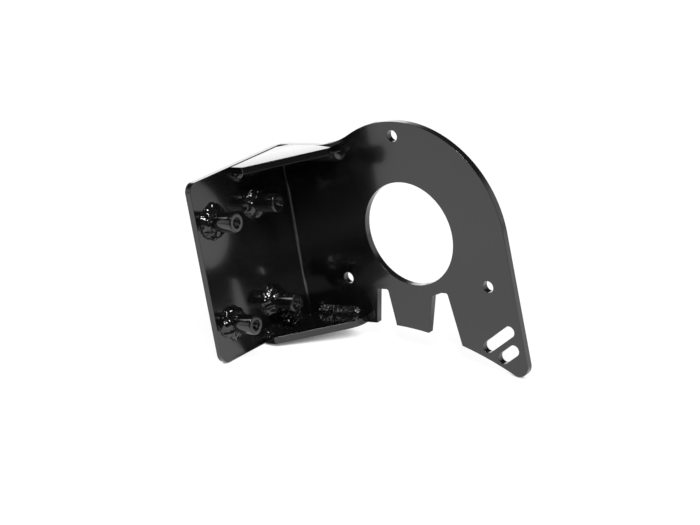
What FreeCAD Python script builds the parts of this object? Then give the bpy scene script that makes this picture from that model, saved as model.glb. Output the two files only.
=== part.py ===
import FreeCAD, Part
import math
import os

import Sketcher
from FreeCAD import Vector

# Motor mounting bracket, in millimetres.
# A laser-cut steel plate is folded at a right angle: the long leg is the motor plate, the short leg the
# flange that bolts to a frame. Two gussets close the ends of the fold, and four threaded standoffs are
# welded to the flange's inner face.
# The origin is the centre of the motor bore on the plate's front face. +X runs along the plate away from
# the fold, +Z is up along the fold, and the front face looks towards -Y.

SIZES = [
    ("sheet_thickness", 5.0, "steel sheet of the plate, the flange and both gussets"),
    ("bend_radius", 5.0, "inside radius of the fold"),
    ("fold_reach", 104.5, "bore axis to the flange's inner face"),
    ("flange_width", 99.5, "plate's front face to the flange's free edge"),
    ("flange_corner", 7.0, "radius of the flange's two free corners"),
    ("plate_rim", 10.5, "motor bolt circle to the plate's round end"),
    ("top_sweep", 70.0, "radius of the hollow from the top edge into the round end"),
    ("side_lean", 1.8, "degrees by which the right side leans out below the round end"),
    ("tip_corner", 8.5, "radius of the tip's corner"),
    ("lower_sweep", 230.0, "radius of the long hollow of the lower edge"),
    ("lower_sweep_start", 43.0, "bore axis back to where that hollow starts"),
    ("motor_bore", 76.0, "diameter of the bore for the motor's spigot"),
    ("bolt_circle", 143.0, "diameter of the circle of the motor bolts"),
    ("bolt_hole", 8.5, "diameter of the motor bolt holes"),
    ("notch_web", 4.6, "bore down to the top of both notches"),
    ("notch_corner", 1.8, "radius in the corners of the notches"),
    ("tab_left", 27.3, "bore axis back to the tab's left root"),
    ("tab_left_lean", 5.4, "degrees by which the tab's left side leans in"),
    ("tab_right", 12.6, "bore axis out to the tab's right root"),
    ("tab_right_lean", 16.8, "degrees by which the tab's right side leans in"),
    ("left_notch_width", 9.3, "left notch across its top"),
    ("left_wall_lean", 12.4, "degrees by which the left notch opens to the left"),
    ("right_notch_width", 12.8, "right notch across its top"),
    ("right_wall_lean", 8.6, "degrees by which the right notch opens to the right"),
    ("root_slope_run", 7.7, "length over which the right notch's top slopes down to the tab"),
    ("root_slope_drop", 2.9, "how far that slope drops at the tab"),
    ("slot_width", 8.2, "width of both slanted slots"),
    ("slot_tilt", 32.0, "degrees by which the slots rise"),
    ("slot_inset", 18.4, "plate's round end back to the middle of the long slot"),
    ("slot_rise", 20.8, "lower edge up to the middle of the long slot"),
    ("slot_pitch", 12.5, "long slot to short slot, square to them"),
    ("long_slot", 24.2, "long slot between the centres of its ends"),
    ("short_slot", 12.0, "short slot between the centres of its ends"),
    ("standoff_length", 22.0, "flange's inner face to the standoff's end"),
    ("standoff_diameter", 14.0, "outside of the standoffs"),
    ("thread_core", 6.8, "core of the M8 thread, through standoff and flange"),
    ("rim_chamfer", 0.8, "chamfer round the standoff's free end"),
    ("mouth_chamfer", 0.6, "chamfer of the thread's mouth"),
    ("standoff_drop", 43.5, "bore axis down to the lower row"),
    ("standoff_pitch_across", 46.0, "outer column to inner column"),
    ("standoff_pitch_up", 75.5, "lower row to upper row"),
    ("edge_clearance", 3.5, "flange's free edge to the ring welds"),
    ("torch_clearance_top", 5.5, "upper ring welds to the weld under the top gusset"),
    ("torch_clearance_bottom", 2.0, "lower ring welds to the weld on the bottom gusset"),
    ("ring_weld_leg", 6.5, "weld round a standoff, along the flange"),
    ("ring_weld_height", 6.0, "the same weld, along the standoff"),
    ("corner_clearance", 3.6, "gusset's clipped corner beyond the fold's radius"),
    ("gusset_corner", 3.0, "radius of the gussets' blunt corner"),
    ("top_gusset_depth", 56.6, "plate's front face to the top gusset's front"),
    ("top_gusset_length", 51.5, "flange to the top gusset's far end"),
    ("top_gusset_blunt", 12.5, "top gusset's straight front"),
    ("top_gusset_end", 6.5, "top gusset's short far end"),
    ("top_gusset_round", 3.0, "radius between the slant and the far end"),
    ("bottom_gusset_depth", 54.8, "plate's front face to the bottom gusset's front"),
    ("bottom_gusset_length", 53.4, "flange to the bottom gusset's far end"),
    ("bottom_gusset_blunt", 10.7, "bottom gusset's straight front"),
    ("bottom_gusset_end", 10.0, "bottom gusset's far end before its round"),
    ("bottom_gusset_round", 18.0, "radius between the slant and the far end"),
    ("top_flange_bead", 8.0, "legs of the weld between top gusset and flange"),
    ("top_plate_bead", 6.5, "legs of the weld between top gusset and plate"),
    ("bottom_flange_bead", 5.0, "legs of the weld between bottom gusset and flange"),
    ("bottom_plate_bead", 6.5, "legs of the weld between bottom gusset and plate"),
    ("bead_start", 4.0, "clipped corner to the near end of a gusset weld"),
    ("top_bead_stop", 5.0, "top gusset's front back to the end of its flange weld"),
    ("bottom_bead_stop", 2.5, "bottom gusset's front back to the end of its flange weld"),
    ("bead_overrun", 3.5, "weld on the plate past the top gusset's far end"),
    ("bead_underrun", 7.0, "bottom gusset's far end back to the end of its plate weld"),
]

ORIGIN = -1
POINT_START = 1
POINT_END = 2
POINT_CENTRE = 3

doc = FreeCAD.newDocument("motor_mounting_bracket")
sheet = doc.addObject("Spreadsheet::Sheet", "sizes")
for row, (alias, value, meaning) in enumerate(SIZES, start=1):
    sheet.set(f"A{row}", meaning)
    sheet.set(f"B{row}", str(value))
    sheet.setAlias(f"B{row}", alias)
doc.recompute()


def size(alias):
    """Read one size from the sheet."""
    return float(sheet.get(alias))


def number(thing, formula):
    """Work out a formula of sizes as plain millimetres or degrees."""
    return float(thing.evalExpression(formula))


# Sizes that follow from the others. The flange is as tall as two rows of standoffs, their welds and the
# gussets need, and the round end and the notches follow the bolt circle and the bore.
ring_reach = "(sizes.standoff_diameter / 2 + sizes.ring_weld_leg)"
upper_row = "(sizes.standoff_pitch_up - sizes.standoff_drop)"
plate_rise = (f"({upper_row} + {ring_reach} + sizes.torch_clearance_top"
              " + sizes.top_flange_bead + sizes.sheet_thickness)")
plate_drop = (f"(sizes.standoff_drop + {ring_reach} + sizes.torch_clearance_bottom"
              " + sizes.bottom_flange_bead + sizes.sheet_thickness)")
plate_radius = "(sizes.bolt_circle / 2 + sizes.plate_rim)"
notch_top = "(sizes.motor_bore / 2 + sizes.notch_web)"
outer_column = f"(-sizes.flange_width + sizes.edge_clearance + {ring_reach})"
slot_across = f"({plate_radius} - sizes.slot_inset)"
lower_edge = (f"({plate_drop} + sizes.lower_sweep"
              f" - sqrt(sizes.lower_sweep ^ 2 - ({slot_across} + sizes.lower_sweep_start) ^ 2))")
slot_drop = f"({lower_edge} - sizes.slot_rise)"


def new_body(label):
    body = doc.addObject("PartDesign::Body", label)
    body.Label = label
    return body


def reference(body, role):
    """Find one of the body's own origin planes or axes."""
    return next(item for item in body.Origin.OriginFeatures if item.Role == role)


def new_sketch(body, name, role, lift="0"):
    """Start a sketch on an origin plane, lifted off it along its normal."""
    sketch = body.newObject("Sketcher::SketchObject", name)
    sketch.AttachmentSupport = [(reference(body, role), "")]
    sketch.MapMode = "FlatFace"
    sketch.setExpression("AttachmentOffset.Base.z", lift)
    return sketch


def locate(sketch, edge, point, across, up):
    """Hold a point of an edge at two formulas measured from the sketch's origin."""
    for kind, formula in (("DistanceX", across), ("DistanceY", up)):
        measure(sketch, kind, edge, point, formula)


def measure(sketch, kind, edge, point, formula):
    value = number(sketch, formula)
    rule = Sketcher.Constraint(kind, ORIGIN, POINT_START, edge, point, value)
    index = sketch.addConstraint(rule)
    sketch.setExpression(f"Constraints[{index}]", formula)


def round_to(sketch, edge, formula):
    """Give an arc or a circle its radius."""
    rule = Sketcher.Constraint("Radius", edge, number(sketch, formula))
    index = sketch.addConstraint(rule)
    sketch.setExpression(f"Constraints[{index}]", formula)


def join(sketch, kind, edge, point, other, other_point):
    sketch.addConstraint(Sketcher.Constraint(kind, edge, point, other, other_point))


def add_line(sketch, start, end):
    return sketch.addGeometry(Part.LineSegment(Vector(*start), Vector(*end)), False)


def add_arc(sketch, centre, radius, start_angle, end_angle):
    """Add an arc that turns anticlockwise from one angle to the other, in radians."""
    circle = Part.Circle(Vector(*centre), Vector(0, 0, 1), radius)
    return sketch.addGeometry(Part.ArcOfCircle(circle, start_angle, end_angle), False)


def add_circle(sketch, across, up, radius):
    centre = Vector(number(sketch, across), number(sketch, up), 0)
    circle = Part.Circle(centre, Vector(0, 0, 1), number(sketch, radius))
    edge = sketch.addGeometry(circle, False)
    locate(sketch, edge, POINT_CENTRE, across, up)
    round_to(sketch, edge, radius)


def add_polygon(sketch, corners):
    """Draw a closed run of straight edges whose corners are pairs of formulas."""
    places = [(number(sketch, across), number(sketch, up)) for across, up in corners]
    edges = [add_line(sketch, place, places[(i + 1) % len(places)]) for i, place in enumerate(places)]
    for i, edge in enumerate(edges):
        join(sketch, "Coincident", edge, POINT_END, edges[(i + 1) % len(edges)], POINT_START)
    for edge, (across, up) in zip(edges, corners):
        locate(sketch, edge, POINT_START, across, up)


def add_slot(sketch, across, up, tilt, length, width):
    """Draw a slot from the middle, the angle and the distance between the centres of its ends."""
    angle = math.radians(number(sketch, tilt))
    reach = number(sketch, length) / 2
    radius = number(sketch, width) / 2
    middle = Vector(number(sketch, across), number(sketch, up), 0)
    along = Vector(math.cos(angle), math.sin(angle), 0)
    square = Vector(-along.y, along.x, 0) * radius
    far = middle + along * reach
    near = middle - along * reach
    quarter = math.pi / 2
    far_end = add_arc(sketch, far, radius, angle - quarter, angle + quarter)
    upper = add_line(sketch, far + square, near + square)
    near_end = add_arc(sketch, near, radius, angle + quarter, angle + 3 * quarter)
    lower = add_line(sketch, near - square, far - square)
    join(sketch, "Tangent", far_end, POINT_END, upper, POINT_START)
    join(sketch, "Tangent", upper, POINT_END, near_end, POINT_START)
    join(sketch, "Tangent", near_end, POINT_END, lower, POINT_START)
    join(sketch, "Tangent", lower, POINT_END, far_end, POINT_START)
    half = f"({length}) / 2"
    locate(sketch, far_end, POINT_CENTRE, f"{across} + {half} * cos({tilt})", f"{up} + {half} * sin({tilt})")
    locate(sketch, near_end, POINT_CENTRE, f"{across} - {half} * cos({tilt})", f"{up} - {half} * sin({tilt})")
    round_to(sketch, far_end, f"({width}) / 2")


def pad(body, sketch, name, length, backwards=False):
    feature = body.newObject("PartDesign::Pad", name)
    feature.Profile = sketch
    feature.setExpression("Length", length)
    feature.Reversed = backwards
    return feature


def cut_through(body, sketch, name):
    """Cut a sketch right through the sheet, both ways."""
    before = body.Shape.Volume
    feature = body.newObject("PartDesign::Pocket", name)
    feature.Profile = sketch
    feature.Type = "ThroughAll"
    feature.Midplane = True
    doc.recompute()
    if not body.Shape.Volume < before:
        raise RuntimeError(f"{name} removes nothing")
    return feature


def revolve(body, sketch, name, role):
    feature = body.newObject("PartDesign::Revolution", name)
    feature.Profile = sketch
    feature.ReferenceAxis = (reference(body, role), [""])
    feature.Angle = 360
    return feature


def round_edges(body, name, radius, places):
    """Round the straight edges that pass through the given places."""
    doc.recompute()
    base = body.Tip
    names = [edge_at(base.Shape, Vector(*place)) for place in places]
    feature = body.newObject("PartDesign::Fillet", name)
    feature.Base = (base, names)
    feature.setExpression("Radius", radius)
    doc.recompute()
    return feature


def edge_at(shape, place):
    """Name the edge whose middle is nearest to a place."""
    middles = [edge.CenterOfMass.distanceToPoint(place) for edge in shape.Edges]
    nearest = min(range(len(middles)), key=lambda i: middles[i])
    return f"Edge{nearest + 1}"


# Folded plate: one sheet, the flange and the motor plate on either side of one bend.
plate = new_body("folded_plate")

inner_face = -size("fold_reach")
outer_face = inner_face - size("sheet_thickness")
bend_line = inner_face + size("bend_radius")
back_face = size("sheet_thickness")
free_edge = -size("flange_width")
bend_inside = size("bend_radius")
bend_outside = bend_inside + size("sheet_thickness")
top_edge = number(sheet, plate_rise)
bottom_edge = -number(sheet, plate_drop)

fold = new_sketch(plate, "fold_profile", "XY_Plane", f"-{plate_drop}")
bend_centre = (bend_line, -bend_inside)
outside = add_line(fold, (outer_face, free_edge), (outer_face, -bend_inside))
outer_bend = add_arc(fold, bend_centre, bend_outside, math.pi / 2, math.pi)
seam = add_line(fold, (bend_line, back_face), (bend_line, 0))
inner_bend = add_arc(fold, bend_centre, bend_inside, math.pi / 2, math.pi)
inside = add_line(fold, (inner_face, -bend_inside), (inner_face, free_edge))
edge = add_line(fold, (inner_face, free_edge), (outer_face, free_edge))
join(fold, "Tangent", outside, POINT_END, outer_bend, POINT_END)
join(fold, "Coincident", outer_bend, POINT_START, seam, POINT_START)
join(fold, "Coincident", seam, POINT_END, inner_bend, POINT_START)
join(fold, "Tangent", inner_bend, POINT_END, inside, POINT_START)
join(fold, "Coincident", inside, POINT_END, edge, POINT_START)
join(fold, "Coincident", edge, POINT_END, outside, POINT_START)
for upright in (outside, seam, inside):
    fold.addConstraint(Sketcher.Constraint("Vertical", upright))
fold.addConstraint(Sketcher.Constraint("Horizontal", edge))
locate(fold, inner_bend, POINT_CENTRE, "sizes.bend_radius - sizes.fold_reach", "-sizes.bend_radius")
locate(fold, outer_bend, POINT_CENTRE, "sizes.bend_radius - sizes.fold_reach", "-sizes.bend_radius")
round_to(fold, inner_bend, "sizes.bend_radius")
round_to(fold, outer_bend, "sizes.bend_radius + sizes.sheet_thickness")
measure(fold, "DistanceY", edge, POINT_START, "-sizes.flange_width")
pad(plate, fold, "fold_pad", f"{plate_rise} + {plate_drop}")

# The plate's outline: a round end about the bore, long hollows above and below it, and a tip at the right.
radius = number(sheet, plate_radius)
sweep = size("top_sweep")
lean = math.radians(size("side_lean"))
corner = size("tip_corner")
lower = size("lower_sweep")
sweep_across = -math.sqrt((radius + sweep) ** 2 - (top_edge + sweep) ** 2)
sweep_centre = (sweep_across, top_edge + sweep)
sweep_turn = math.atan2(-sweep_centre[1], -sweep_across)
round_start = math.atan2(sweep_centre[1], sweep_across)
side_top = (radius * math.cos(lean), radius * math.sin(lean))
lower_centre = (-size("lower_sweep_start"), bottom_edge - lower)
# The tip's centre lies one corner radius inside the leaning side and one outside the lower hollow.
side_normal = Vector(math.cos(lean), math.sin(lean), 0)
side_along = Vector(math.sin(lean), -math.cos(lean), 0)
to_side = (radius - corner) - Vector(*lower_centre).dot(side_normal)
to_tip = math.sqrt((lower + corner) ** 2 - to_side ** 2)
tip_centre = Vector(*lower_centre) + side_normal * to_side - side_along * to_tip
side_foot = tip_centre + side_normal * corner
tip_turn = math.atan2(tip_centre.y - lower_centre[1], tip_centre.x - lower_centre[0])

face = new_sketch(plate, "face_outline", "XZ_Plane")
left = add_line(face, (bend_line, bottom_edge), (bend_line, top_edge))
top = add_line(face, (bend_line, top_edge), (sweep_across, top_edge))
hollow = add_arc(face, sweep_centre, sweep, -math.pi / 2, sweep_turn)
round_end = add_arc(face, (0, 0), radius, lean, round_start)
side = add_line(face, side_foot, side_top)
tip = add_arc(face, tip_centre, corner, tip_turn - math.pi, lean)
under = add_arc(face, lower_centre, lower, tip_turn, math.pi / 2)
bottom = add_line(face, (lower_centre[0], bottom_edge), (bend_line, bottom_edge))
join(face, "Coincident", left, POINT_END, top, POINT_START)
join(face, "Tangent", top, POINT_END, hollow, POINT_START)
join(face, "Tangent", hollow, POINT_END, round_end, POINT_END)
join(face, "Tangent", round_end, POINT_START, side, POINT_END)
join(face, "Tangent", side, POINT_START, tip, POINT_END)
join(face, "Tangent", tip, POINT_START, under, POINT_START)
join(face, "Tangent", under, POINT_END, bottom, POINT_START)
join(face, "Coincident", bottom, POINT_END, left, POINT_START)
face.addConstraint(Sketcher.Constraint("Vertical", left))
face.addConstraint(Sketcher.Constraint("Horizontal", top))
face.addConstraint(Sketcher.Constraint("Horizontal", bottom))
join(face, "Coincident", round_end, POINT_CENTRE, ORIGIN, POINT_START)
locate(face, left, POINT_START, "sizes.bend_radius - sizes.fold_reach", f"-{plate_drop}")
measure(face, "DistanceY", left, POINT_END, plate_rise)
measure(face, "DistanceX", bottom, POINT_START, "-sizes.lower_sweep_start")
round_to(face, hollow, "sizes.top_sweep")
round_to(face, round_end, plate_radius)
round_to(face, tip, "sizes.tip_corner")
round_to(face, under, "sizes.lower_sweep")
side_angle = face.addConstraint(Sketcher.Constraint("Angle", side, math.pi / 2 + lean))
face.setExpression(f"Constraints[{side_angle}]", "90 + sizes.side_lean")
pad(plate, face, "face_pad", "sizes.sheet_thickness", backwards=True)

bore = new_sketch(plate, "bore_circle", "XZ_Plane")
add_circle(bore, "0", "0", "sizes.motor_bore / 2")
doc.recompute()
cut_through(plate, bore, "motor_bore_cut")

bolt = new_sketch(plate, "bolt_circle", "XZ_Plane")
add_circle(bolt, "0", "sizes.bolt_circle / 2", "sizes.bolt_hole / 2")
doc.recompute()
bolt_cut = cut_through(plate, bolt, "bolt_hole_cut")
bolt_ring = plate.newObject("PartDesign::PolarPattern", "bolt_hole_ring")
bolt_ring.Originals = [bolt_cut]
bolt_ring.Axis = (reference(plate, "Y_Axis"), [""])
bolt_ring.Angle = 360
bolt_ring.Occurrences = 3
plate.Tip = bolt_ring
doc.recompute()

# Two notches leave a tapering tab; both run out through the lower edge. The right one's top slopes down
# to the tab.
notch_foot = f"({plate_drop} + {plate_radius})"
notch_depth = f"({notch_foot} - {notch_top})"
left_notch_left = "-sizes.tab_left - sizes.left_notch_width"
right_notch_right = "sizes.tab_right + sizes.right_notch_width"
notches = new_sketch(plate, "notch_outlines", "XZ_Plane")
add_polygon(notches, [
    (left_notch_left, f"-{notch_top}"),
    (f"{left_notch_left} - {notch_depth} * tan(sizes.left_wall_lean)", f"-{notch_foot}"),
    (f"-sizes.tab_left + {notch_depth} * tan(sizes.tab_left_lean)", f"-{notch_foot}"),
    ("-sizes.tab_left", f"-{notch_top}"),
])
right_root_across = "sizes.tab_right - sizes.root_slope_drop * tan(sizes.tab_right_lean)"
right_root_up = f"-{notch_top} - sizes.root_slope_drop"
add_polygon(notches, [
    (right_root_across, right_root_up),
    (f"sizes.tab_right - {notch_depth} * tan(sizes.tab_right_lean)", f"-{notch_foot}"),
    (f"{right_notch_right} + {notch_depth} * tan(sizes.right_wall_lean)", f"-{notch_foot}"),
    (right_notch_right, f"-{notch_top}"),
    ("sizes.tab_right + sizes.root_slope_run", f"-{notch_top}"),
])
doc.recompute()
cut_through(plate, notches, "notch_cut")

slots = new_sketch(plate, "slot_outlines", "XZ_Plane")
add_slot(slots, slot_across, f"-{slot_drop}", "sizes.slot_tilt", "sizes.long_slot", "sizes.slot_width")
add_slot(slots, f"{slot_across} + sizes.slot_pitch * sin(sizes.slot_tilt)",
         f"-{slot_drop} - sizes.slot_pitch * cos(sizes.slot_tilt)",
         "sizes.slot_tilt", "sizes.short_slot", "sizes.slot_width")
doc.recompute()
cut_through(plate, slots, "slot_cut")

COLUMNS = {"outer": outer_column, "inner": f"{outer_column} + sizes.standoff_pitch_across"}
ROWS = {"lower": "-sizes.standoff_drop", "upper": upper_row}
threads = new_sketch(plate, "thread_holes", "YZ_Plane", "-sizes.fold_reach")
for column in COLUMNS.values():
    for row in ROWS.values():
        add_circle(threads, column, row, "sizes.thread_core / 2")
doc.recompute()
cut_flange = plate.newObject("PartDesign::Pocket", "thread_hole_cut")
cut_flange.Profile = threads
cut_flange.setExpression("Length", "sizes.sheet_thickness")
doc.recompute()

half_sheet = size("sheet_thickness") / 2
notch_root = -number(sheet, notch_top)
notch_roots = [
    (number(sheet, left_notch_left), half_sheet, notch_root),
    (-size("tab_left"), half_sheet, notch_root),
    (number(sheet, right_root_across), half_sheet, number(sheet, right_root_up)),
    (number(sheet, right_notch_right), half_sheet, notch_root),
]
round_edges(plate, "notch_corners", "sizes.notch_corner", notch_roots)
flange_middle = (inner_face + outer_face) / 2
round_edges(plate, "flange_corners", "sizes.flange_corner",
            [(flange_middle, free_edge, z) for z in (top_edge, bottom_edge)])


# Gussets: each is a plate with one clipped corner at the fold and a slant between its two short ends.
def make_gusset(label, lift):
    gusset = new_body(label)
    outline = new_sketch(gusset, f"{label}_outline", "XY_Plane", lift)
    clip = "(sizes.bend_radius + sizes.corner_clearance)"
    wall = "-sizes.fold_reach"
    add_polygon(outline, [
        (wall, f"-{clip}"),
        (wall, f"-sizes.{label}_depth"),
        (f"{wall} + sizes.{label}_blunt", f"-sizes.{label}_depth"),
        (f"{wall} + sizes.{label}_length", f"-sizes.{label}_end"),
        (f"{wall} + sizes.{label}_length", "0"),
        (f"{wall} + {clip}", "0"),
    ])
    pad(gusset, outline, f"{label}_pad", "sizes.sheet_thickness")
    middle = number(gusset, lift) + half_sheet
    front = (inner_face + size(f"{label}_blunt"), -size(f"{label}_depth"), middle)
    far = (inner_face + size(f"{label}_length"), -size(f"{label}_end"), middle)
    round_edges(gusset, f"{label}_front_round", "sizes.gusset_corner", [front])
    round_edges(gusset, f"{label}_far_round", f"sizes.{label}_round", [far])
    return gusset


top_gusset = make_gusset("top_gusset", f"{plate_rise} - sizes.sheet_thickness")
bottom_gusset = make_gusset("bottom_gusset", f"-{plate_drop}")


# Standoffs: turned bar with a tapped hole, standing square on the flange.
def place_on_flange(body, column, row):
    body.setExpression("Placement.Base.x", "-sizes.fold_reach")
    body.setExpression("Placement.Base.y", column)
    body.setExpression("Placement.Base.z", row)


def make_standoff(label, column, row):
    standoff = new_body(label)
    profile = new_sketch(standoff, f"{label}_profile", "XZ_Plane")
    core = "sizes.thread_core / 2"
    outside = "sizes.standoff_diameter / 2"
    add_polygon(profile, [
        ("0", core),
        ("0", outside),
        ("sizes.standoff_length - sizes.rim_chamfer", outside),
        ("sizes.standoff_length", f"{outside} - sizes.rim_chamfer"),
        ("sizes.standoff_length", f"{core} + sizes.mouth_chamfer"),
        ("sizes.standoff_length - sizes.mouth_chamfer", core),
    ])
    revolve(standoff, profile, f"{label}_turned", "X_Axis")
    place_on_flange(standoff, column, row)
    return standoff


# Ring welds: a fillet weld laid once round each standoff's foot.
def make_ring_weld(label, column, row):
    weld = new_body(label)
    profile = new_sketch(weld, f"{label}_profile", "XZ_Plane")
    foot = "sizes.standoff_diameter / 2"
    add_polygon(profile, [
        ("0", foot),
        ("0", f"{foot} + sizes.ring_weld_leg"),
        ("sizes.ring_weld_height", foot),
    ])
    revolve(weld, profile, f"{label}_bead", "X_Axis")
    place_on_flange(weld, column, row)
    return weld


standoffs = []
ring_welds = []
for row_name, row in ROWS.items():
    for column_name, column in COLUMNS.items():
        standoffs.append(make_standoff(f"standoff_{row_name}_{column_name}", column, row))
        ring_welds.append(make_ring_weld(f"weld_{row_name}_{column_name}", column, row))


# Gusset welds: a bar sunk behind both faces of the corner that it fills, so that only a low rounded bead
# stands proud. The end away from the fold is round, and the end at the fold is blunt.
def make_bead(label, start, end, leg, along, upwards):
    """Lay a bead from start to end, given as three formulas each, in the corner beside a gusset."""
    sink = f"({leg}) * 0.6"
    radius = f"sqrt((({leg}) + {sink}) ^ 2 + ({sink}) ^ 2)"
    across = 1 if along == "y" else -1
    rise = 1 if upwards else -1
    inwards = "x" if along == "y" else "y"

    def sunk(place):
        """Move a place on the seam behind both faces."""
        moved = dict(zip("xyz", place))
        moved[inwards] = f"{moved[inwards]} - ({across}) * {sink}"
        moved["z"] = f"{moved['z']} - ({rise}) * {sink}"
        return moved

    bar = doc.addObject("Part::Cylinder", f"{label}_bar")
    bar.setExpression("Radius", radius)
    distance = f"abs(({end['xyz'.index(along)]}) - ({start['xyz'.index(along)]}))"
    bar.setExpression("Height", distance)
    turn = Vector(0, 1, 0) if along == "x" else Vector(-1, 0, 0)
    bar.Placement.Rotation = FreeCAD.Rotation(turn, 90)
    for axis, formula in sunk(start).items():
        bar.setExpression(f"Placement.Base.{axis}", formula)
    ball = doc.addObject("Part::Sphere", f"{label}_round_end")
    ball.setExpression("Radius", radius)
    for axis, formula in sunk(start if along == "y" else end).items():
        ball.setExpression(f"Placement.Base.{axis}", formula)
    solid = doc.addObject("Part::MultiFuse", f"{label}_round")
    solid.Shapes = [bar, ball]
    corner_box = doc.addObject("Part::Box", f"{label}_corner")
    reach = f"({distance} + 4 * {radius})"
    lows = dict(zip("xyz", start))
    lows[along] = f"{lows[along]} - 2 * {radius}"
    if across < 0:
        lows[inwards] = f"{lows[inwards]} - 2 * {radius}"
    if rise < 0:
        lows["z"] = f"{lows['z']} - 2 * {radius}"
    for axis, formula in lows.items():
        corner_box.setExpression(f"Placement.Base.{axis}", formula)
    spans = {"x": f"2 * {radius}", "y": f"2 * {radius}", "z": f"2 * {radius}", along: reach}
    for prop, axis in (("Length", "x"), ("Width", "y"), ("Height", "z")):
        corner_box.setExpression(prop, spans[axis])
    bead = doc.addObject("Part::Common", label)
    bead.Label = label
    bead.Base = solid
    bead.Tool = corner_box
    return bead


seam_start = "(sizes.bend_radius + sizes.corner_clearance + sizes.bead_start)"
top_seam = f"{plate_rise} - sizes.sheet_thickness"
bottom_seam = f"-{plate_drop} + sizes.sheet_thickness"
wall = "-sizes.fold_reach"
top_front = "-sizes.top_gusset_depth + sizes.top_bead_stop + sizes.top_flange_bead"
bottom_front = "-sizes.bottom_gusset_depth + sizes.bottom_bead_stop + sizes.bottom_flange_bead"
top_far = f"{wall} + sizes.top_gusset_length + sizes.bead_overrun - sizes.top_plate_bead"
bottom_far = f"{wall} + sizes.bottom_gusset_length - sizes.bead_underrun - sizes.bottom_plate_bead"
beads = [
    make_bead("weld_top_flange", (wall, top_front, top_seam), (wall, f"-{seam_start}", top_seam),
              "sizes.top_flange_bead", "y", False),
    make_bead("weld_bottom_flange", (wall, bottom_front, bottom_seam), (wall, f"-{seam_start}", bottom_seam),
              "sizes.bottom_flange_bead", "y", True),
    make_bead("weld_top_plate", (f"{wall} + {seam_start}", "0", top_seam), (top_far, "0", top_seam),
              "sizes.top_plate_bead", "x", False),
    make_bead("weld_bottom_plate", (f"{wall} + {seam_start}", "0", bottom_seam), (bottom_far, "0", bottom_seam),
              "sizes.bottom_plate_bead", "x", True),
]

pieces = [plate, top_gusset, bottom_gusset] + standoffs + ring_welds + beads
doc.recompute()

for item in doc.Objects:
    if "Invalid" in item.State or "Error" in item.State:
        raise RuntimeError(f"{item.Label} did not build: {item.State}")
for piece in pieces:
    if piece.Shape.isNull() or not piece.Shape.isValid():
        raise RuntimeError(f"{piece.Label} has no valid shape")

os.makedirs("parts", exist_ok=True)
for piece in pieces:
    piece.Shape.exportStep(f"parts/{piece.Label}.step")
    print(piece.Label, len(piece.Shape.Solids), round(piece.Shape.Volume, 1))
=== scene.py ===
import math

import bmesh
import bpy
from mathutils import Matrix, Vector


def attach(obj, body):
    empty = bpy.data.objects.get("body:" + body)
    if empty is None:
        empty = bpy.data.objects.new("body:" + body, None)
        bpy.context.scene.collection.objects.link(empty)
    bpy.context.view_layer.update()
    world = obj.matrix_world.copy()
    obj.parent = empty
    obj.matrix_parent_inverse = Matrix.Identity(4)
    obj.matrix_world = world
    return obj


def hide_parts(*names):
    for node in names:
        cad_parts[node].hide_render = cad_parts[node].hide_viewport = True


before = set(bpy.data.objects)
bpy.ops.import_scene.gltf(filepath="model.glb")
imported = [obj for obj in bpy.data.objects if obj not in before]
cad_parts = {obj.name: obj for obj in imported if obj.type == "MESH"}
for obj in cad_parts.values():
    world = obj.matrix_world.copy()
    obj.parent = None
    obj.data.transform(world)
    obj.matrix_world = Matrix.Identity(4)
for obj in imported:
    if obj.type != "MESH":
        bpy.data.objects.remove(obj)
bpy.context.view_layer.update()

# Folded plate: one laser-cut steel sheet, 5 mm thick, folded at a right angle into motor plate and flange.
# It is powder-coated gloss black, so that every cut edge is softly rounded by the coat. The fold's inner
# radius is drawn tighter than the solid's, because the real fold catches a narrow highlight.
MM = 0.001
CUT_EDGE_ROUND = 0.3 * MM
EDGE_SEGMENTS = 3
MERGE_WITHIN = 0.002 * MM
FLAT_WITHIN = math.radians(0.3)
SHARP_FROM = math.radians(35)
FOLD_SOLID_ROUND = 5.0 * MM
FOLD_SOLID_AXIS = Vector((-99.5, -5.0)) * MM
FOLD_ROUND = 2.0 * MM
ON_FOLD = 0.05 * MM
FOLD_END = 0.01 * MM
BLACK = (0.0066, 0.0066, 0.0071, 1.0)
BLACK_DEEP = (0.0046, 0.0046, 0.005, 1.0)
COAT_WEIGHT = 0.58
COAT_IOR = 1.5
COAT_UNEVEN = 0.08
NOISE_LOW = 0.3
NOISE_HIGH = 0.7
TONE_PATCHES_PER_METRE = 60
GLOSS_PATCHES_PER_METRE = 110
WAVES_PER_METRE = 42
MIX_FACTOR = 0
MIX_FIRST_COLOUR = 6
MIX_SECOND_COLOUR = 7
MIX_RESULT_COLOUR = 2


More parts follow.
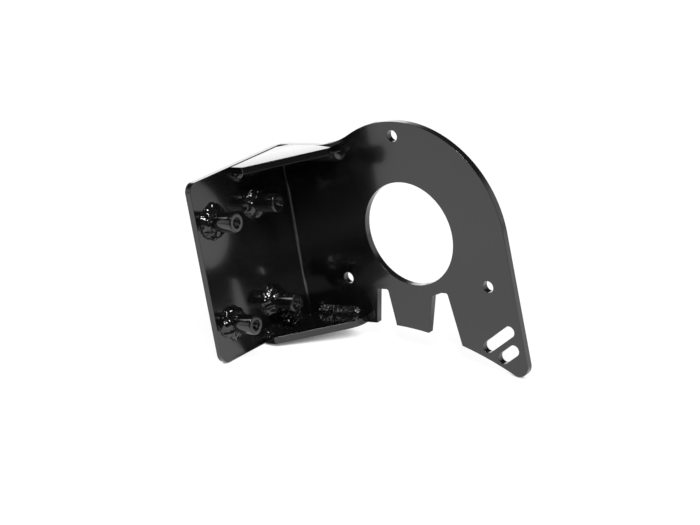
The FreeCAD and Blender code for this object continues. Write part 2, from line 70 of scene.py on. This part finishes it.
def powder_coat(name, peel_size, peel_depth, wave_depth, roughness, coat_roughness):
    """Gloss black powder coat: fine orange peel over slow waves, a little uneven in its gloss."""
    material = bpy.data.materials.new(name)
    material.use_nodes = True
    nodes = material.node_tree.nodes
    links = material.node_tree.links
    shader = nodes["Principled BSDF"]
    shader.inputs["IOR"].default_value = COAT_IOR
    shader.inputs["Coat Weight"].default_value = COAT_WEIGHT
    shader.inputs["Coat Roughness"].default_value = coat_roughness
    shader.inputs["Coat IOR"].default_value = COAT_IOR
    place = nodes.new("ShaderNodeTexCoord")

    def noise(scale, detail):
        texture = nodes.new("ShaderNodeTexNoise")
        texture.inputs["Scale"].default_value = scale
        texture.inputs["Detail"].default_value = detail
        links.new(place.outputs["Object"], texture.inputs["Vector"])
        return texture.outputs["Fac"]

    tone = nodes.new("ShaderNodeMix")
    tone.data_type = "RGBA"
    tone.inputs[MIX_FIRST_COLOUR].default_value = BLACK_DEEP
    tone.inputs[MIX_SECOND_COLOUR].default_value = BLACK
    links.new(noise(TONE_PATCHES_PER_METRE, detail=3), tone.inputs[MIX_FACTOR])
    links.new(tone.outputs[MIX_RESULT_COLOUR], shader.inputs["Base Color"])

    gloss = nodes.new("ShaderNodeMapRange")
    gloss.inputs["From Min"].default_value = NOISE_LOW
    gloss.inputs["From Max"].default_value = NOISE_HIGH
    gloss.inputs["To Min"].default_value = roughness * (1 - COAT_UNEVEN)
    gloss.inputs["To Max"].default_value = roughness * (1 + COAT_UNEVEN)
    links.new(noise(GLOSS_PATCHES_PER_METRE, detail=4), gloss.inputs["Value"])
    links.new(gloss.outputs["Result"], shader.inputs["Roughness"])

    waves = nodes.new("ShaderNodeBump")
    waves.inputs["Distance"].default_value = wave_depth
    links.new(noise(WAVES_PER_METRE, detail=1), waves.inputs["Height"])
    peel = nodes.new("ShaderNodeBump")
    peel.inputs["Distance"].default_value = peel_depth
    links.new(noise(1 / peel_size, detail=2), peel.inputs["Height"])
    links.new(waves.outputs["Normal"], peel.inputs["Normal"])
    links.new(peel.outputs["Normal"], shader.inputs["Normal"])
    links.new(peel.outputs["Normal"], shader.inputs["Coat Normal"])
    return material


def rounded_copy(node, name, width, edge_share=None):
    """Copy a solid of the frame, merge its facets and round its edges, each by its share of the width."""
    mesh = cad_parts[node].data.copy()
    mesh.name = name
    solid = bmesh.new()
    solid.from_mesh(mesh)
    bmesh.ops.remove_doubles(solid, verts=solid.verts, dist=MERGE_WITHIN)
    bmesh.ops.dissolve_limit(solid, angle_limit=FLAT_WITHIN, verts=solid.verts, edges=solid.edges)
    shares = solid.edges.layers.float.new("bevel_weight_edge")
    for edge in solid.edges:
        if edge.calc_face_angle(0.0) > SHARP_FROM:
            edge[shares] = edge_share(edge) if edge_share else 1.0
    solid.to_mesh(mesh)
    solid.free()
    mesh.materials.clear()
    for face in mesh.polygons:
        face.use_smooth = True
    piece = bpy.data.objects.new(name, mesh)
    bpy.context.scene.collection.objects.link(piece)
    bevel = piece.modifiers.new("edges", "BEVEL")
    bevel.width = width
    bevel.segments = EDGE_SEGMENTS
    bevel.limit_method = "WEIGHT"
    flatten = piece.modifiers.new("flat_faces", "WEIGHTED_NORMAL")
    flatten.mode = "FACE_AREA"
    return piece


def finish_piece(piece, material, slot, *nodes):
    """Make the piece a plain mesh, coat it, and let it stand for its solids."""
    bpy.context.view_layer.update()
    graph = bpy.context.evaluated_depsgraph_get()
    made = piece.evaluated_get(graph)
    mesh = bpy.data.meshes.new_from_object(made, preserve_all_data_layers=True, depsgraph=graph)
    piece.modifiers.clear()
    piece.data = mesh
    mesh.materials.clear()
    mesh.materials.append(material)
    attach(piece, "root")
    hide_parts(*nodes)


plate_coat = powder_coat(
    "gloss_black_on_sheet",
    peel_size=1.6 * MM,
    peel_depth=0.002 * MM,
    wave_depth=0.003 * MM,
    roughness=0.15,
    coat_roughness=0.08,
)
plate = rounded_copy("folded_plate", "coated_sheet", CUT_EDGE_ROUND)
fold_axis = FOLD_SOLID_AXIS + Vector((-1, 1)) * (FOLD_SOLID_ROUND - FOLD_ROUND)
for vertex in plate.data.vertices:
    from_axis = Vector((vertex.co.x, vertex.co.y)) - FOLD_SOLID_AXIS
    on_fold = abs(from_axis.length - FOLD_SOLID_ROUND) < ON_FOLD
    in_corner = from_axis.x < FOLD_END and from_axis.y > -FOLD_END
    if on_fold and in_corner:
        tighter = fold_axis + from_axis.normalized() * FOLD_ROUND
        vertex.co.x = tighter.x
        vertex.co.y = tighter.y
finish_piece(plate, plate_coat, "coated_plate", "folded_plate")

# Gussets: two small plates of the same sheet that close the ends of the fold, welded along the flange
# and the motor plate, and coated with the rest.
SEAM_EDGE_ROUND = 2.2 * MM
ON_FACE = 0.05 * MM


def gusset_edge_share(flange_face):
    """Rule for a gusset's edges: sharp on the motor plate, well rounded on the flange, else as cut."""

    def share(edge):
        places = [vert.co for vert in edge.verts]
        if all(abs(place.y) < ON_FACE for place in places):
            return 0.0
        if all(abs(place.x - flange_face) < ON_FACE for place in places):
            return 1.0
        return CUT_EDGE_ROUND / SEAM_EDGE_ROUND

    return share


for label in ("top_gusset", "bottom_gusset"):
    flange_face = min(vertex.co.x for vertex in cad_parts[label].data.vertices)
    gusset = rounded_copy(label, f"coated_{label}", SEAM_EDGE_ROUND, gusset_edge_share(flange_face))
    finish_piece(gusset, plate_coat, "coated_plate", label)

# Gusset welds: one arc-welded bead along each seam between a gusset, the flange and the motor plate, left
# lumpy and rippled as laid, and coated over. Each is a round bar sunk behind both faces of its seam; its
# melt-in, cap and ripple are shares of the leg, which is the bead's height on the steel.
WELD_MELT_IN = 0.45
WELD_CAP = 0.75
WELD_RIPPLE = 0.009
WELD_ARC_OVERLAP = 0.12
WELD_ARC_POINTS = 26
WELD_STEP = 0.3 * MM
WELD_FOLD_TAPER = 4.0 * MM
WELD_LUMP_DETAIL = 0.6
RIPPLE_BOW_MIDDLE = 0.425
FLAT_SEAM_RIPPLE = 0.5
GUSSET_WELD_SEED_STEP = 0.37
WELD_SIZES = (
    "Bead Radius",
    "Arc Start",
    "Arc Sweep",
    "Turn",
    "Near Cap",
    "Far Cap",
    "Cap Share",
    "Step",
    "Lump Size",
    "Lump Depth",
    "Spatter Size",
    "Spatter Depth",
    "Ripple Pitch",
    "Ripple Depth",
    "Ripple Bow",
    "Seed",
)


def new_tree(name, sizes):
    """Start a geometry node tree with the piece's own geometry, the named sizes and a material."""
    tree = bpy.data.node_groups.new(name, "GeometryNodeTree")
    tree.interface.new_socket("Geometry", in_out="INPUT", socket_type="NodeSocketGeometry")
    for size in sizes:
        tree.interface.new_socket(size, in_out="INPUT", socket_type="NodeSocketFloat")
    tree.interface.new_socket("Material", in_out="INPUT", socket_type="NodeSocketMaterial")
    tree.interface.new_socket("Geometry", in_out="OUTPUT", socket_type="NodeSocketGeometry")
    return tree, tree.nodes.new("NodeGroupInput").outputs


def node_maker(tree):
    """Give two functions: one adds a node with its properties and inputs, the other a calculation."""

    def add(kind, inputs=(), **properties):
        node = tree.nodes.new(kind)
        for key, value in properties.items():
            setattr(node, key, value)
        for key, value in dict(inputs).items():
            if isinstance(value, bpy.types.NodeSocket):
                tree.links.new(value, node.inputs[key])
            else:
                node.inputs[key].default_value = value
        return node

    def calc(operation, first, second=0.0, third=0.0):
        inputs = {0: first, 1: second}
        if operation == "MULTIPLY_ADD":
            inputs[2] = third
        return add("ShaderNodeMath", inputs, operation=operation).outputs[0]

    return add, calc


def weld_bead_tree():
    """A bead swept along the piece's own edges, with round caps, lumps and bowed ripples."""
    tree, given = new_tree("weld_bead", WELD_SIZES)
    add, calc = node_maker(tree)
    seam = add("GeometryNodeMeshToCurve", {"Mesh": given["Geometry"]}).outputs[0]
    path = add("GeometryNodeResampleCurve", {"Curve": seam, "Length": given["Step"]}, mode="LENGTH")
    path = add("GeometryNodeSetCurveNormal", {"Curve": path.outputs[0]}, mode="Z_UP")
    path = add("GeometryNodeSetCurveTilt", {"Curve": path.outputs[0], "Tilt": given["Turn"]})
    along = add("GeometryNodeSplineParameter").outputs["Length"]
    whole = add("GeometryNodeSplineLength").outputs["Length"]
    near = calc("MAXIMUM", calc("SUBTRACT", given["Near Cap"], along), 0.0)
    left = calc("SUBTRACT", whole, along)
    far = calc("MAXIMUM", calc("SUBTRACT", given["Far Cap"], left), 0.0)
    ended = calc("ADD", calc("DIVIDE", near, given["Near Cap"]), calc("DIVIDE", far, given["Far Cap"]))
    past = calc("MULTIPLY", ended, given["Cap Share"])
    cap = calc("SQRT", calc("SUBTRACT", 1.0, calc("MULTIPLY", past, past)))
    mark = add("GeometryNodeCaptureAttribute", {"Geometry": path.outputs[0]})
    mark.capture_items.new("FLOAT", "along")
    tree.links.new(along, mark.inputs["along"])
    arc = add("GeometryNodeCurveArc", {
        "Resolution": WELD_ARC_POINTS,
        "Radius": given["Bead Radius"],
        "Start Angle": given["Arc Start"],
        "Sweep Angle": given["Arc Sweep"],
        "Connect Center": True,
    })
    side = add("GeometryNodeCaptureAttribute", {"Geometry": arc.outputs[0]})
    side.capture_items.new("FLOAT", "across")
    tree.links.new(add("GeometryNodeSplineParameter").outputs["Factor"], side.inputs["across"])
    sweep = add("GeometryNodeCurveToMesh", {
        "Curve": mark.outputs[0],
        "Profile Curve": side.outputs[0],
        "Scale": cap,
        "Fill Caps": True,
    })
    off_middle = calc("MULTIPLY_ADD", side.outputs["across"], 2.0, -2.0 * RIPPLE_BOW_MIDDLE)
    bow = calc("MULTIPLY", off_middle, off_middle)
    bowed = calc("MULTIPLY_ADD", bow, given["Ripple Bow"], mark.outputs["along"])
    turns = calc("DIVIDE", bowed, given["Ripple Pitch"])
    ripple = calc("MULTIPLY", calc("SINE", calc("MULTIPLY", turns, math.tau)), given["Ripple Depth"])
    shift = add("ShaderNodeCombineXYZ", {"X": given["Seed"], "Y": given["Seed"], "Z": given["Seed"]})
    here = add("GeometryNodeInputPosition").outputs[0]
    place = add("ShaderNodeVectorMath", {0: here, 1: shift.outputs[0]}, operation="ADD").outputs[0]

    def uneven(size, depth):
        """Random height up to half the depth either way, over the given size."""
        inputs = {"Vector": place, "Scale": calc("DIVIDE", 1.0, size), "Detail": WELD_LUMP_DETAIL}
        texture = add("ShaderNodeTexNoise", inputs)
        return calc("MULTIPLY", calc("SUBTRACT", texture.outputs["Fac"], 0.5), depth)

    lump = uneven(given["Lump Size"], given["Lump Depth"])
    lump = calc("ADD", lump, uneven(given["Spatter Size"], given["Spatter Depth"]))
    outwards = add("GeometryNodeInputNormal").outputs[0]
    rise = add("ShaderNodeVectorMath", {0: outwards, "Scale": calc("ADD", lump, ripple)}, operation="SCALE")
    laid = add("GeometryNodeSetPosition", {"Geometry": sweep.outputs[0], "Offset": rise.outputs[0]})
    smooth = add("GeometryNodeSetShadeSmooth", {"Geometry": laid.outputs[0]})
    bead = add("GeometryNodeRealizeInstances", {"Geometry": smooth.outputs[0]})
    coated = add("GeometryNodeSetMaterial", {"Geometry": bead.outputs[0], "Material": given["Material"]})
    add("NodeGroupOutput", {"Geometry": coated.outputs[0]})
    return tree


def node_piece(name, mesh, tree, values):
    """Link a mesh as a piece and put the tree on it with its inputs set."""
    piece = bpy.data.objects.new(name, mesh)
    bpy.context.scene.collection.objects.link(piece)
    modifier = piece.modifiers.new("nodes", "NODES")
    modifier.node_group = tree
    for item in tree.interface.items_tree:
        if item.in_out == "INPUT" and item.name in values:
            modifier[item.identifier] = values[item.name]
    return piece


def node_box(name):
    """Low and high corner of a solid of the frame."""
    places = [vertex.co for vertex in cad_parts[name].data.vertices]
    low = Vector(min(place[axis] for place in places) for axis in range(3))
    high = Vector(max(place[axis] for place in places) for axis in range(3))
    return low, high


weld_coat = powder_coat(
    "gloss_black_on_weld",
    peel_size=2.2 * MM,
    peel_depth=0.09 * MM,
    wave_depth=0.05 * MM,
    roughness=0.14,
    coat_roughness=0.03,
)


def bead_values(leg, seed):
    """Sizes of a bead with equal legs whose round bar lies behind both faces of its corner."""
    start = math.atan(WELD_MELT_IN / (1 + WELD_MELT_IN)) - WELD_ARC_OVERLAP
    return {
        "Bead Radius": leg * math.hypot(1 + WELD_MELT_IN, WELD_MELT_IN),
        "Arc Start": start,
        "Arc Sweep": math.pi / 2 - 2 * start,
        "Step": WELD_STEP,
        "Lump Size": 4.0 * MM,
        "Lump Depth": 1.9 * MM,
        "Spatter Size": 1.9 * MM,
        "Spatter Depth": 0.7 * MM,
        "Ripple Pitch": 2.2 * MM,
        "Ripple Depth": leg * WELD_RIPPLE,
        "Ripple Bow": 1.2 * MM,
        "Seed": seed,
        "Material": weld_coat,
    }


bead_tree = weld_bead_tree()
gusset_welds = [
    ("weld_top_flange", "y", False),
    ("weld_bottom_flange", "y", True),
    ("weld_top_plate", "x", False),
    ("weld_bottom_plate", "x", True),
]
for number, (node, run, faces_up) in enumerate(gusset_welds):
    low, high = node_box(node)
    leg = high.z - low.z
    melt = leg * WELD_MELT_IN
    height = low.z - melt if faces_up else high.z + melt
    if run == "y":
        ends = [(low.x - melt, low.y, height), (low.x - melt, high.y + WELD_FOLD_TAPER, height)]
    else:
        ends = [(low.x - WELD_FOLD_TAPER, high.y + melt, height), (high.x, high.y + melt, height)]
    seam = bpy.data.meshes.new(node)
    seam.from_pydata(ends, [(0, 1)], [])
    values = bead_values(leg, GUSSET_WELD_SEED_STEP * number)
    radius = values["Bead Radius"]
    values["Turn"] = -math.pi / 2 if faces_up else 0.0
    values["Near Cap"] = WELD_CAP * leg
    values["Far Cap"] = WELD_CAP * leg
    values["Cap Share"] = math.sqrt(radius ** 2 - 2 * melt ** 2) / radius
    if node == "weld_bottom_flange":
        values["Lump Depth"] = 0.9 * MM
        values["Spatter Depth"] = 0.35 * MM
        values["Ripple Depth"] *= FLAT_SEAM_RIPPLE
    bead = node_piece(node.replace("weld", "bead"), seam, bead_tree, values)
    finish_piece(bead, weld_coat, "coated_weld", node)

# Standoffs: four round steel bars, turned to one length and threaded M8 right through. Each stands square on
# the inside of the flange, where a weld holds its foot, and its rim and mouth are eased. The thread's sink
# and height are shares of its depth, its root and crest shares of its pitch.
THREAD_POINTS = 24
THREAD_SINK = 0.45
THREAD_HEIGHT = 1.1
THREAD_ROOT = 0.88
THREAD_CREST = 0.2
TUBE_POINTS = 72
CORNER_POINTS = 4
STANDOFF_SIZES = (
    "Length",
    "Outer Radius",
    "Bore Radius",
    "Rim Round",
    "Mouth Round",
    "Thread Pitch",
    "Thread Depth",
    "Thread Margin",
)


def standoff_tree():
    """A threaded tube on each of the piece's own points, along +X."""
    tree, given = new_tree("threaded_standoff", STANDOFF_SIZES)
    add, calc = node_maker(tree)
    wall = calc("SUBTRACT", given["Outer Radius"], given["Bore Radius"])
    middle = calc("MULTIPLY", calc("ADD", given["Outer Radius"], given["Bore Radius"]), 0.5)
    section = add("GeometryNodeCurvePrimitiveQuadrilateral", {"Width": wall, "Height": given["Length"]})
    across = add("ShaderNodeSeparateXYZ", {0: add("GeometryNodeInputPosition").outputs[0]}).outputs[0]
    outside = calc("GREATER_THAN", across, 0.0)
    extra = calc("SUBTRACT", given["Rim Round"], given["Mouth Round"])
    section = add("GeometryNodeFilletCurve", {
        "Curve": section.outputs[0],
        "Radius": calc("MULTIPLY_ADD", outside, extra, given["Mouth Round"]),
        "Count": CORNER_POINTS,
    }, mode="POLY")
    circle = add("GeometryNodeCurvePrimitiveCircle", {"Resolution": TUBE_POINTS, "Radius": middle})
    circle = add("GeometryNodeSetCurveNormal", {"Curve": circle.outputs[0]}, mode="Z_UP")
    tube = add("GeometryNodeCurveToMesh", {"Curve": circle.outputs[0], "Profile Curve": section.outputs[0]})
    tube = add("GeometryNodeSetShadeSmooth", {"Geometry": tube.outputs[0]})
    cut = calc("SUBTRACT", given["Length"], calc("MULTIPLY", given["Thread Margin"], 2.0))
    radius = calc("MULTIPLY_ADD", given["Thread Depth"], -THREAD_SINK, given["Bore Radius"])
    helix = add("GeometryNodeCurveSpiral", {
        "Resolution": THREAD_POINTS,
        "Rotations": calc("DIVIDE", cut, given["Thread Pitch"]),
        "Start Radius": radius,
        "End Radius": radius,
        "Height": cut,
    })
    helix = add("GeometryNodeSetCurveNormal", {"Curve": helix.outputs[0]}, mode="Z_UP")
    helix = add("GeometryNodeSetCurveTilt", {"Curve": helix.outputs[0], "Tilt": math.pi / 2})
    tooth = add("GeometryNodeCurvePrimitiveQuadrilateral", {
        "Height": calc("MULTIPLY", given["Thread Depth"], THREAD_HEIGHT),
        "Bottom Width": calc("MULTIPLY", given["Thread Pitch"], THREAD_ROOT),
        "Top Width": calc("MULTIPLY", given["Thread Pitch"], THREAD_CREST),
        "Offset": 0.0,
    }, mode="TRAPEZOID")
    thread = add("GeometryNodeCurveToMesh", {
        "Curve": helix.outputs[0],
        "Profile Curve": tooth.outputs[0],
        "Fill Caps": True,
    })
    lift = add("ShaderNodeCombineXYZ", {"Z": calc("MULTIPLY", cut, -0.5)})
    thread = add("GeometryNodeTransform", {"Geometry": thread.outputs[0], "Translation": lift.outputs[0]})
    both = add("GeometryNodeJoinGeometry")
    tree.links.new(tube.outputs[0], both.inputs[0])
    tree.links.new(thread.outputs[0], both.inputs[0])
    stand = add("ShaderNodeCombineXYZ", {"X": calc("MULTIPLY", given["Length"], 0.5)})
    laid = add("GeometryNodeTransform", {
        "Geometry": both.outputs[0],
        "Translation": stand.outputs[0],
        "Rotation": (0.0, math.pi / 2, 0.0),
    })
    copies = add("GeometryNodeInstanceOnPoints", {"Points": given["Geometry"], "Instance": laid.outputs[0]})
    whole = add("GeometryNodeRealizeInstances", {"Geometry": copies.outputs[0]})
    coated = add("GeometryNodeSetMaterial", {"Geometry": whole.outputs[0], "Material": given["Material"]})
    add("NodeGroupOutput", {"Geometry": coated.outputs[0]})
    return tree


standoff_coat = powder_coat(
    "gloss_black_on_bar",
    peel_size=1.6 * MM,
    peel_depth=0.004 * MM,
    wave_depth=0.008 * MM,
    roughness=0.16,
    coat_roughness=0.04,
)
standoff_nodes = [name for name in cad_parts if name.startswith("standoff")]
feet = []
for name in standoff_nodes:
    low, high = node_box(name)
    feet.append((low.x, (low.y + high.y) / 2, (low.z + high.z) / 2))
points = bpy.data.meshes.new("standoff_feet")
points.from_pydata(feet, [], [])
# The four are alike, so the last one's box gives their length and width.
standoffs = node_piece("threaded_standoffs", points, standoff_tree(), {
    "Length": high.x - low.x,
    "Outer Radius": (high.y - low.y) / 2,
    "Bore Radius": 3.85 * MM,
    "Rim Round": 0.8 * MM,
    "Mouth Round": 0.25 * MM,
    "Thread Pitch": 1.25 * MM,
    "Thread Depth": 0.45 * MM,
    "Thread Margin": 0.7 * MM,
    "Material": standoff_coat,
})
finish_piece(standoffs, standoff_coat, "coated_standoff", *standoff_nodes)

# Ring welds: a heavy fillet of the same weld metal, laid once round each standoff's foot to hold it on the
# flange. It is lumpier than the straight seams, and has no caps, because it closes on itself.
RING_POINTS = 96
RING_STEP = 0.11 * MM
RING_RIPPLE = 0.4
RING_SEED = 1.9
RING_SEED_STEP = 0.53
weld_nodes = [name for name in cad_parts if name.startswith(("weld_lower", "weld_upper"))]
for number, node in enumerate(weld_nodes):
    low, high = node_box(node)
    standoff_low, standoff_high = node_box(node.replace("weld", "standoff"))
    leg = high.x - low.x
    melt = leg * WELD_MELT_IN
    radius = (standoff_high.y - standoff_low.y) / 2 - melt
    turns = [math.tau * step / RING_POINTS for step in range(RING_POINTS)]
    rim = [(radius * math.cos(turn), radius * math.sin(turn), 0.0) for turn in turns]
    ring = bpy.data.meshes.new(node)
    ring.from_pydata(rim, [(step, (step + 1) % RING_POINTS) for step in range(RING_POINTS)], [])
    values = bead_values(leg, RING_SEED + RING_SEED_STEP * number)
    values["Step"] = RING_STEP
    values["Lump Size"] = 4.4 * MM
    values["Lump Depth"] = 3.4 * MM
    values["Spatter Size"] = 2.7 * MM
    values["Spatter Depth"] = 0.9 * MM
    values["Ripple Depth"] *= RING_RIPPLE
    bead = node_piece(f"ring_{node}", ring, bead_tree, values)
    finish_piece(bead, weld_coat, "coated_weld", node)
    centre = Vector((low.x - melt, (low.y + high.y) / 2, (low.z + high.z) / 2))
    stand_up = Matrix.Translation(centre) @ Matrix.Rotation(-math.pi / 2, 4, "Y")
    bead.data.transform(stand_up)
    bead.data.update()

# Stage: a pale paper floor on which the bracket rests, flange edge and plate tip down. In the gloss it shows
# painted shade in three places: far out in front, where the room is dark, in a band just before the bracket,
# and in the corner at the fold's foot. These places are fixed on the floor, in metres.
FLOOR_NORMAL = Vector((0.1762, 0.0, 0.9844)).normalized()
FLOOR_POINT = Vector((-107.0, 0.0, -69.2)) * MM
FLOOR_REACH = 6.0
TO_FRONT = Vector((0.657, -0.754, 0.0)).normalized()
TO_LEFT = Vector((-0.754, -0.657, 0.0)).normalized()
ROOM_TO_FRONT = (0.33, 0.46)
BAND_START_TO_FRONT = (0.13, 0.20)
BAND_END_TO_FRONT = (0.23, 0.29)
BAND_TO_LEFT = (-0.14, 0.0)
CORNER_X = (-0.108, -0.104)
CORNER_Y = (0.0, 0.004)
CORNER_TO_FRONT = (-0.014, -0.010)
PAPER = (0.9, 0.9, 0.9, 1)
PAINTED_SHADE_GREY = (0.12, 0.12, 0.12, 1)
PAPER_UNDER_WHITE = (0.16, 0.16, 0.16, 1)
PAPER_GLOW = 0.41
# Painted contact shadow on the white floor that the camera sees: its reach, rays, ramp and strengths.
CONTACT_REACH = 0.018
CONTACT_RAYS = 8
CONTACT_OPEN = (0.05, 0.42)
CONTACT_DARKEST = 0.06
CONTACT_GAIN = 0.89


def shader_tree(tree):
    """Empty a shader tree and give its node maker, with functions for a smooth step and a distance."""
    tree.nodes.clear()
    add, calc = node_maker(tree)

    def step(value, low, high, at_low=0.0, at_high=1.0):
        inputs = {"Value": value, "From Min": low, "From Max": high, "To Min": at_low, "To Max": at_high}
        return add("ShaderNodeMapRange", inputs, interpolation_type="SMOOTHSTEP").outputs[0]

    def distance(place, direction):
        inputs = {0: place, 1: direction}
        return add("ShaderNodeVectorMath", inputs, operation="DOT_PRODUCT").outputs["Value"]

    return add, calc, step, distance


floor_mesh = bpy.data.meshes.new("floor")
across = Vector((0, 1, 0))
along = across.cross(FLOOR_NORMAL)
corners = [
    FLOOR_POINT + along * a * FLOOR_REACH + across * b * FLOOR_REACH
    for a, b in ((-1, -1), (1, -1), (1, 1), (-1, 1))
]
floor_mesh.from_pydata(corners, [], [(0, 1, 2, 3)])
floor = bpy.data.objects.new("floor", floor_mesh)
bpy.context.scene.collection.objects.link(floor)

floor_paint = bpy.data.materials.new("pale_floor")
floor_paint.use_nodes = True
add, calc, step, distance = shader_tree(floor_paint.node_tree)
rays = add("ShaderNodeLightPath").outputs
place = add("ShaderNodeTexCoord").outputs["Object"]
spot = add("ShaderNodeSeparateXYZ", {0: place}).outputs
to_front = distance(place, TO_FRONT)
to_left = distance(place, TO_LEFT)
# Painted shade far out in front, where the floor's gloss is darkened to stand for the dark room.
room = step(to_front, *ROOM_TO_FRONT)
# Painted shade: a band of floor just before the bracket, dark in the gloss.
band = calc("SUBTRACT", step(to_front, *BAND_START_TO_FRONT), step(to_front, *BAND_END_TO_FRONT))
band = calc("MULTIPLY", band, step(to_left, *BAND_TO_LEFT))
# Painted shade: the floor in the corner at the fold's foot, dark in the gloss like the bracket's own shade.
corner = calc("MULTIPLY", step(spot["X"], *CORNER_X), calc("SUBTRACT", 1.0, step(spot["Y"], *CORNER_Y)))
corner = calc("MULTIPLY", corner, calc("SUBTRACT", 1.0, step(to_front, *CORNER_TO_FRONT)))
# Painted shade: where any of the three masks holds, the paper seen in the gloss turns to a dark grey.
dark = calc("MAXIMUM", corner, calc("MAXIMUM", room, band))
paper = add("ShaderNodeBsdfDiffuse", {"Color": PAPER}).outputs[0]
shade = add("ShaderNodeBsdfDiffuse", {"Color": PAINTED_SHADE_GREY}).outputs[0]
gloss_only = calc("MULTIPLY", rays["Is Glossy Ray"], PAPER_GLOW)
glow = add("ShaderNodeEmission", {"Strength": gloss_only}).outputs[0]
lit = add("ShaderNodeAddShader", {0: paper, 1: glow}).outputs[0]
around = add("ShaderNodeMixShader", {0: calc("SUBTRACT", 1.0, dark), 1: shade, 2: lit}).outputs[0]
# Painted contact shadow: the camera's white glow is dimmed where ambient occlusion finds the bracket close
# by.
open_sky = add("ShaderNodeAmbientOcclusion", {"Distance": CONTACT_REACH}, samples=CONTACT_RAYS)
painted_contact_shadow = calc("MULTIPLY_ADD", step(open_sky.outputs["AO"], *CONTACT_OPEN), CONTACT_GAIN, CONTACT_DARKEST)
white = add("ShaderNodeEmission", {"Strength": painted_contact_shadow}).outputs[0]
thin_paper = add("ShaderNodeBsdfDiffuse", {"Color": PAPER_UNDER_WHITE}).outputs[0]
ground = add("ShaderNodeAddShader", {0: thin_paper, 1: white}).outputs[0]
seen = add("ShaderNodeMixShader", {0: rays["Is Camera Ray"], 1: around, 2: ground}).outputs[0]
add("ShaderNodeOutputMaterial", {"Surface": seen})
floor_mesh.materials.append(floor_paint)

# World: white low down as a paper sweep, dark overhead as an unlit ceiling, and dark far out in front. The
# camera itself sees plain white behind the bracket.
CEILING_HEIGHT = (0.30, 0.55)
CEILING_LIGHT = 0.06
FRONT_SIDE = (0.1, 0.6)
FRONT_LIGHT = 0.1
WHITE = (1, 1, 1, 1)
world = bpy.data.worlds.new("studio")
bpy.context.scene.world = world
world.use_nodes = True
add, calc, step, distance = shader_tree(world.node_tree)
rays = add("ShaderNodeLightPath").outputs
place = add("ShaderNodeTexCoord").outputs["Generated"]
overhead = step(distance(place, FLOOR_NORMAL), *CEILING_HEIGHT, 1.0, CEILING_LIGHT)
in_front = step(distance(place, TO_FRONT), *FRONT_SIDE, 1.0, FRONT_LIGHT)
studio = add("ShaderNodeBackground", {"Strength": calc("MULTIPLY", overhead, in_front)}).outputs[0]
white = add("ShaderNodeBackground", {"Color": WHITE, "Strength": 1.0}).outputs[0]
seen = add("ShaderNodeMixShader", {0: rays["Is Camera Ray"], 1: studio, 2: white}).outputs[0]
add("ShaderNodeOutputWorld", {"Surface": seen})


# Lamps: two soft boxes of white cloth that face the bracket, a strong one overhead in front and a faint,
# wide one low behind. Neither shows in the picture.
def soft_box(name, place, width, height, radiance):
    """Area lamp that faces the origin, with the power that gives its cloth the radiance."""
    lamp = bpy.data.lights.new(name, "AREA")
    lamp.shape = "RECTANGLE"
    lamp.size = width
    lamp.size_y = height
    lamp.energy = radiance * math.pi * width * height
    holder = bpy.data.objects.new(name, lamp)
    bpy.context.scene.collection.objects.link(holder)
    holder.location = place
    holder.rotation_euler = (-Vector(place)).to_track_quat("-Z", "Y").to_euler()
    holder.visible_camera = False


soft_box("overhead", place=(0.75, -0.6, 1.35), width=0.5, height=0.5, radiance=26.0)
soft_box("behind", place=(-1.3, 1.45, 0.55), width=1.6, height=0.8, radiance=1.2)

# Camera: a long lens 1.6 m from the bracket, at the photograph's viewing angle. Its place, aim and focal
# length were solved together from the bracket's right angles and circles.
PHOTO_WIDTH = 700.0
FOCAL_PIXELS = 2302.0
SENSOR_WIDTH = 36.0
CAMERA_PLACE = Vector((986.776, -1199.280, 437.003)) * MM
CAMERA_AIM = Vector((-0.63094478, 0.72419481, -0.27829942))
CAMERA_UP = Vector((-0.04753931, 0.32195032, 0.94556227))
camera_data = bpy.data.cameras.new("camera")
camera_data.sensor_width = SENSOR_WIDTH
camera_data.lens = SENSOR_WIDTH * FOCAL_PIXELS / PHOTO_WIDTH
camera_data.clip_start = 0.05
camera_data.clip_end = 50.0
camera = bpy.data.objects.new("camera", camera_data)
bpy.context.scene.collection.objects.link(camera)
forward = CAMERA_AIM.normalized()
right = forward.cross(CAMERA_UP).normalized()
up = right.cross(forward).normalized()
turn = Matrix((right, up, -forward)).transposed().to_4x4()
camera.matrix_world = Matrix.Translation(CAMERA_PLACE) @ turn
bpy.context.scene.camera = camera
bpy.context.scene.view_settings.view_transform = "Standard"
